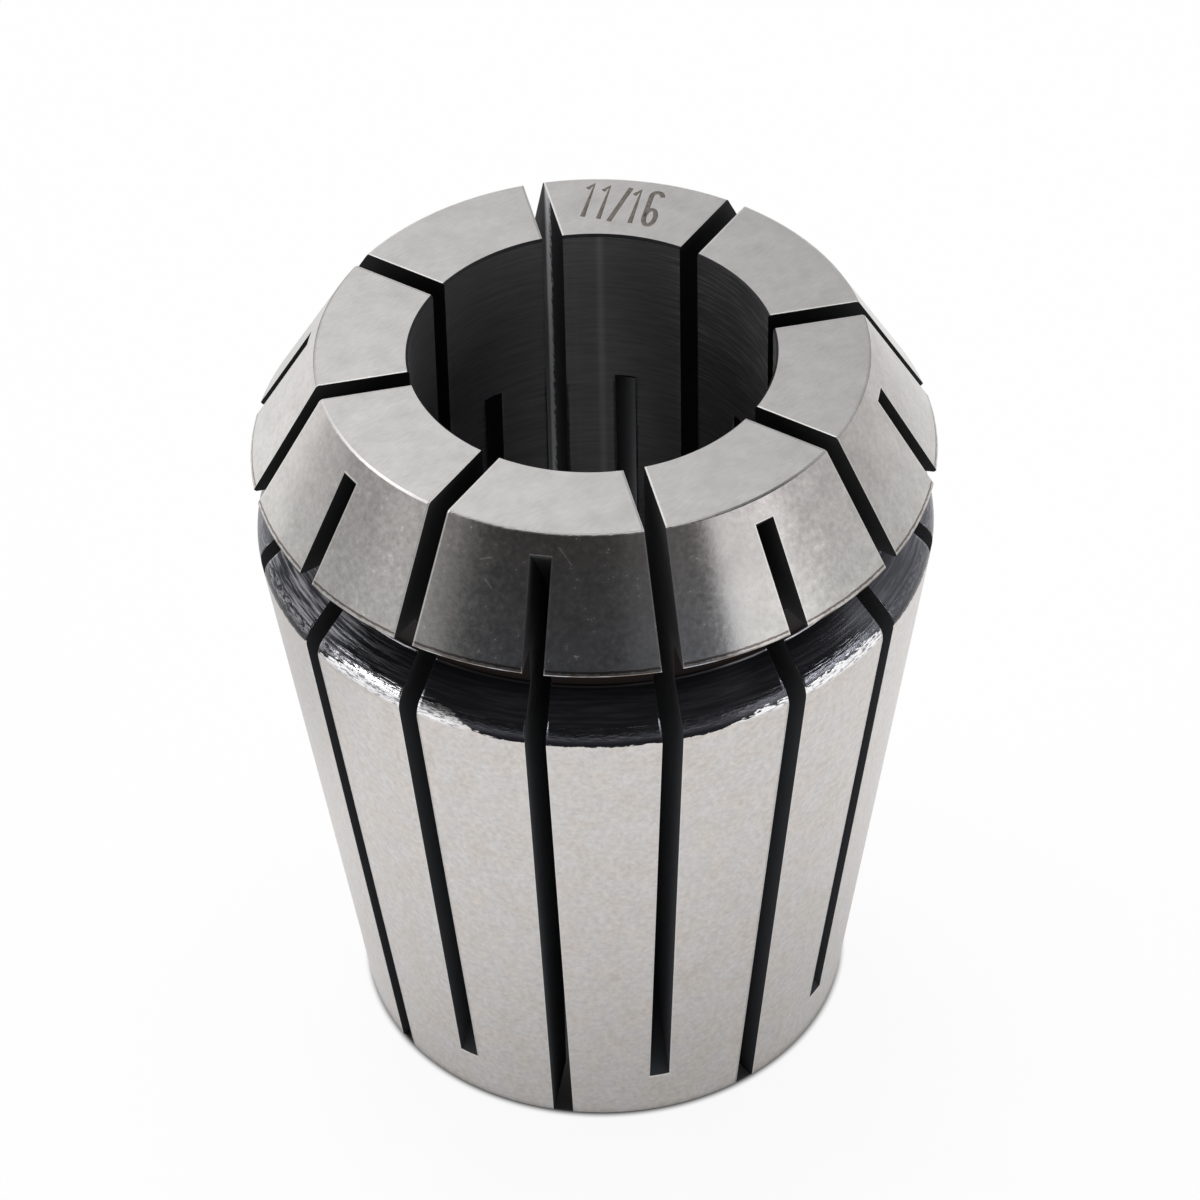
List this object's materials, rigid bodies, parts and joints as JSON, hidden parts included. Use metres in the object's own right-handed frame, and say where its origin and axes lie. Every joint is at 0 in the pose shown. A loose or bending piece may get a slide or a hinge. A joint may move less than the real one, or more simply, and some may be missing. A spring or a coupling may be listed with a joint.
{
  "type": "er collet",
  "caption": "Slotted spring collet: a long taper and a short front cone parted by an extraction groove, with saw slots from both ends so that its bore closes on a tool shank.",
  "frame": {"origin": "centre of the rear face, on the bore axis; the collet stands on this face", "axes": "+Z along the bore from the rear face to the front face, where the tool enters; +X through a slot that is open at the front face"},
  "size_m": [0.033, 0.033, 0.04],
  "materials": {
    "ground_steel": "hardened steel, ground satin on the tapers, turned on the front face and in the groove"
  },
  "bodies": {
    "root": {"collet": "ground_steel"}
  },
  "joints": []
}
